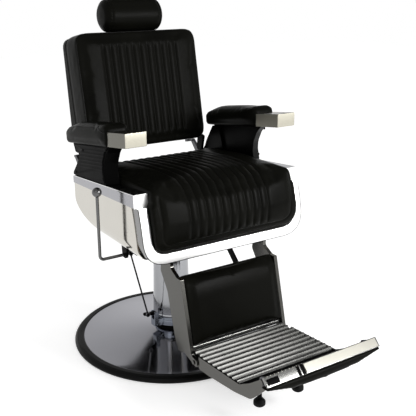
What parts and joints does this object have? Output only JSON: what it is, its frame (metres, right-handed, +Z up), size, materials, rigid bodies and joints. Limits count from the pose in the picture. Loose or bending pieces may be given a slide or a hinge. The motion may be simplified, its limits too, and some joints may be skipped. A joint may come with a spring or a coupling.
{
  "type": "hydraulic barber chair",
  "caption": "Barber chair on a round hydraulic base, with padded seat, arms, reclining back, sliding headrest, pump lever and a leg rest with ribbed foot plate.",
  "frame": {"origin": "on the floor, at the centre of the round base under the hydraulic column", "axes": "+Z up; the sitter faces -Y; +X is the sitter's left"},
  "size_m": [0.6845, 1.1358, 1.1426],
  "materials": {
    "casting": "rough cast, painted black underneath",
    "base_chrome": "mirror chrome dish",
    "base_rubber": "moulded edge ring, satin",
    "black_frame": "black powder coat",
    "bearing_steel": "bare machined steel",
    "ram_chrome": "ground hard chrome",
    "column_chrome": "polished chrome",
    "shell_sheet": "mirror sheet, warm reflections",
    "rail_chrome": "mirror chrome",
    "rod_chrome": "polished chrome",
    "leg_chrome": "darker polished chrome",
    "bare_plate": "bright satin plate, bare",
    "plywood": "bare plywood",
    "black_leather": "soft-sheen black upholstery with fine grain",
    "black_plastic": "black moulding, low sheen",
    "foot_rubber": "moulded rubber"
  },
  "bodies": {
    "base": {"base_plate": "casting", "base_dish": "base_chrome", "base_rim": "base_rubber", "base_socket": "black_frame", "base_sleeve": "black_frame", "thrust_bearing": "bearing_steel"},
    "ram": {"ram": "ram_chrome"},
    "seat": {"pump_cylinder": "bearing_steel", "column_cover": "column_chrome", "pump_collar": "column_chrome", "seat_mount": "black_frame", "frame_cross_front": "black_frame", "frame_cross_rear": "black_frame", "shell_side_left": "shell_sheet", "shell_side_right": "shell_sheet", "shell_rear": "black_frame", "rail_left": "rail_chrome", "rail_right": "rail_chrome", "front_trim": "rail_chrome", "seat_board": "plywood", "seat_cushion": "black_leather", "arm_pillar_left": "black_frame", "arm_pillar_right": "black_frame", "arm_panel_left": "black_plastic", "arm_panel_right": "black_plastic", "arm_pad_left": "black_leather", "arm_pad_right": "black_leather", "arm_block_left": "rail_chrome", "arm_block_right": "rail_chrome", "recline_bracket_left": "black_frame", "recline_bracket_right": "black_frame", "lever_bracket": "black_frame"},
    "valve_arm": {"valve_arm": "black_frame"},
    "pump_lever": {"pump_lever": "rod_chrome", "lever_knob": "rod_chrome"},
    "link_rod": {"link_rod": "bearing_steel"},
    "back": {"back_hinge_frame": "bearing_steel", "back_board": "plywood", "back_cushion": "black_leather", "back_cover": "black_plastic", "headrest_guide": "bearing_steel"},
    "headrest": {"headrest_frame": "rod_chrome", "headrest_bolster": "black_leather"},
    "legrest": {"leg_left": "leg_chrome", "leg_right": "leg_chrome", "calf_pad": "black_leather", "calf_backing": "black_frame", "leg_cross_bar": "leg_chrome"},
    "recline_link": {"recline_link": "black_frame"},
    "footplate": {"tread_plate": "leg_chrome", "foot_cheek_left": "leg_chrome", "foot_cheek_right": "leg_chrome", "foot_tube": "black_frame", "bumper_foot_left": "foot_rubber", "bumper_foot_right": "foot_rubber"},
    "kickplate": {"kick_bar": "rail_chrome", "kick_face_plate": "bare_plate", "kick_frame": "leg_chrome", "kick_pad": "black_leather"}
  },
  "joints": [
    {"name": "swivel", "type": "hinge", "parent": "base", "child": "ram", "pos_m": [0, 0, 0.03], "axis": [0, 0, 1], "continuous": true},
    {"name": "lift", "type": "slide", "parent": "ram", "child": "seat", "axis": [0, 0, 1], "range_m": [0, 0.15]},
    {"name": "recline", "type": "hinge", "parent": "seat", "child": "back", "pos_m": [0, 0.165, 0.575], "axis": [-1, 0, 0], "range_deg": [0, 40]},
    {"name": "headrest_slide", "type": "slide", "parent": "back", "child": "headrest", "axis": [0, 0.1994, 0.9799], "range_m": [0, 0.1]},
    {"name": "legrest_raise", "type": "hinge", "parent": "seat", "child": "legrest", "pos_m": [0, -0.285, 0.42], "axis": [-1, 0, 0], "range_deg": [0, 26]},
    {"name": "recline_link_turn", "type": "hinge", "parent": "back", "child": "recline_link", "pos_m": [0.062, 0.165, 0.541], "axis": [-1, 0, 0], "range_deg": [-40, 0]},
    {"name": "foot_fold", "type": "hinge", "parent": "legrest", "child": "footplate", "pos_m": [0, -0.428, 0.144], "axis": [-1, 0, 0], "range_deg": [0, 60]},
    {"name": "kick_flip", "type": "hinge", "parent": "footplate", "child": "kickplate", "pos_m": [0, -0.75, 0.243], "axis": [-1, 0, 0], "range_deg": [0, 135]},
    {"name": "pump", "type": "hinge", "parent": "seat", "child": "pump_lever", "pos_m": [-0.33, -0.15, 0.404], "axis": [1, 0, 0], "range_deg": [-15, 15], "stiffness_Nm_per_rad": 6},
    {"name": "rod_turn", "type": "hinge", "parent": "pump_lever", "child": "link_rod", "pos_m": [-0.22, -0.128, 0.404], "axis": [1, 0, 0], "range_deg": [-16, 16]},
    {"name": "valve_turn", "type": "hinge", "parent": "seat", "child": "valve_arm", "pos_m": [-0.08, -0.02, 0.108], "axis": [0, 1, 0], "range_deg": [-16, 16]}
  ],
  "couplings": [
    {"joint": "legrest_raise", "follows": "recline", "ratio": 0.597},
    {"joint": "recline_link_turn", "follows": "recline", "ratio": -0.973},
    {"joint": "rod_turn", "follows": "pump", "ratio": -1},
    {"joint": "valve_turn", "follows": "pump", "ratio": 0.8}
  ]
}
